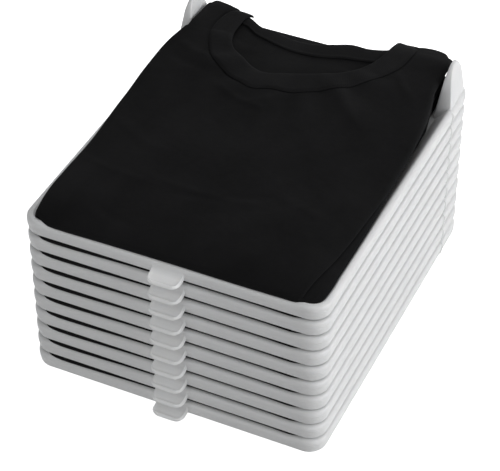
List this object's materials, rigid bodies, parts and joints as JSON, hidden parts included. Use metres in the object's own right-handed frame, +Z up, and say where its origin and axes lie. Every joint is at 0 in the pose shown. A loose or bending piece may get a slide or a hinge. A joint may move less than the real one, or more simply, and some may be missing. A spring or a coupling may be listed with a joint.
{
  "type": "shirt folding board stack",
  "caption": "Stack of shallow white plastic shirt folding boards with front tabs and nesting rear horns, each holding a folded black T-shirt.",
  "frame": {"origin": "on the surface the stack stands on, under the middle of the whole stack", "axes": "+Z up, +Y from the finger tabs to the horns at the rear, +X to the right as seen from the tabs"},
  "size_m": [0.254, 0.3226, 0.1865],
  "materials": {
    "white_plastic": "satin injection-moulded white polypropylene",
    "black_cotton": "black cotton jersey knit"
  },
  "bodies": {
    "board_01": {"folding_board_01": "white_plastic", "folded_shirt_01": "black_cotton"},
    "board_02": {"folding_board_02": "white_plastic", "folded_shirt_02": "black_cotton"},
    "board_03": {"folding_board_03": "white_plastic", "folded_shirt_03": "black_cotton"},
    "board_04": {"folding_board_04": "white_plastic", "folded_shirt_04": "black_cotton"},
    "board_05": {"folding_board_05": "white_plastic", "folded_shirt_05": "black_cotton"},
    "board_06": {"folding_board_06": "white_plastic", "folded_shirt_06": "black_cotton"},
    "board_07": {"folding_board_07": "white_plastic", "folded_shirt_07": "black_cotton"},
    "board_08": {"folding_board_08": "white_plastic", "folded_shirt_08": "black_cotton"},
    "board_09": {"folding_board_09": "white_plastic", "folded_shirt_09": "black_cotton"},
    "board_10": {"folding_board_10": "white_plastic"},
    "top_shirt": {"folded_shirt_10": "black_cotton"}
  },
  "joints": [
    {"name": "tip_up_02", "type": "hinge", "parent": "board_01", "child": "board_02", "pos_m": [0, 0.1598, 0.0155], "axis": [-1, 0, 0], "range_deg": [0, 6]},
    {"name": "tip_up_03", "type": "hinge", "parent": "board_02", "child": "board_03", "pos_m": [0, 0.1598, 0.031], "axis": [-1, 0, 0], "range_deg": [0, 6]},
    {"name": "tip_up_04", "type": "hinge", "parent": "board_03", "child": "board_04", "pos_m": [0, 0.1598, 0.0465], "axis": [-1, 0, 0], "range_deg": [0, 6]},
    {"name": "tip_up_05", "type": "hinge", "parent": "board_04", "child": "board_05", "pos_m": [0, 0.1598, 0.062], "axis": [-1, 0, 0], "range_deg": [0, 6]},
    {"name": "tip_up_06", "type": "hinge", "parent": "board_05", "child": "board_06", "pos_m": [0, 0.1598, 0.0775], "axis": [-1, 0, 0], "range_deg": [0, 6]},
    {"name": "tip_up_07", "type": "hinge", "parent": "board_06", "child": "board_07", "pos_m": [0, 0.1598, 0.093], "axis": [-1, 0, 0], "range_deg": [0, 6]},
    {"name": "tip_up_08", "type": "hinge", "parent": "board_07", "child": "board_08", "pos_m": [0, 0.1598, 0.1085], "axis": [-1, 0, 0], "range_deg": [0, 6]},
    {"name": "tip_up_09", "type": "hinge", "parent": "board_08", "child": "board_09", "pos_m": [0, 0.1598, 0.124], "axis": [-1, 0, 0], "range_deg": [0, 6]},
    {"name": "tip_up_10", "type": "hinge", "parent": "board_09", "child": "board_10", "pos_m": [0, 0.1598, 0.1395], "axis": [-1, 0, 0], "range_deg": [0, 6]},
    {"name": "lift_top_shirt", "type": "slide", "parent": "board_10", "child": "top_shirt", "axis": [0, 0, 1], "range_m": [0, 0.08]}
  ]
}
